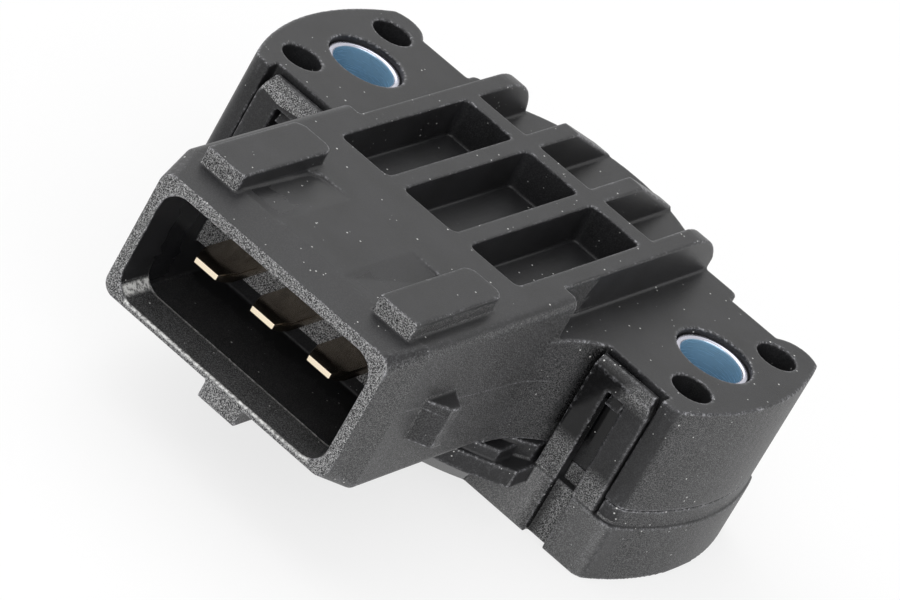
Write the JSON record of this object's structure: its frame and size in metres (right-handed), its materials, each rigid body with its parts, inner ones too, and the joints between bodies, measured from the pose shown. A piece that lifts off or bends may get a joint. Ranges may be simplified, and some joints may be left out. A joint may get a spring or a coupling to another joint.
{
  "type": "throttle position sensor",
  "caption": "Rotary throttle position sensor: flanged plastic body with steel screw sleeves, a three-blade connector and a potentiometer turned by the throttle shaft.",
  "frame": {"origin": "shaft axis on the mounting face", "axes": "+Z along the shaft axis away from the mounting face, -Y towards the mouth of the connector, X through the two screw holes"},
  "size_m": [0.043, 0.0454, 0.0183],
  "materials": {
    "housing_plastic": "black glass-filled moulding, satin with rough ends",
    "zinc_steel": "blue-passivated zinc plate",
    "bronze": "rolled bronze",
    "seal_rubber": "matt",
    "ceramic": "fired ceramic substrate",
    "track_ink": "printed carbon track",
    "silver_ink": "printed conductor",
    "rotor_plastic": "smooth moulding",
    "steel": "spring steel"
  },
  "bodies": {
    "housing": {"upper_housing": "housing_plastic", "lower_housing": "housing_plastic", "housing_seal": "seal_rubber", "left_sleeve": "zinc_steel", "right_sleeve": "zinc_steel", "terminal_left": "bronze", "terminal_center": "bronze", "terminal_right": "bronze", "contact_left": "bronze", "contact_center": "bronze", "contact_right": "bronze", "track_board": "ceramic", "resistor_track": "track_ink", "collector_track": "track_ink", "conductor_traces": "silver_ink", "shaft_seal": "seal_rubber", "thrust_washer": "steel"},
    "rotor": {"rotor": "rotor_plastic", "wiper": "bronze", "drive_clip": "steel"}
  },
  "joints": [
    {"name": "shaft_turn", "type": "hinge", "parent": "housing", "child": "rotor", "pos_m": [0, 0, 0.005], "axis": [0, 0, 1], "range_deg": [0, 100]}
  ]
}
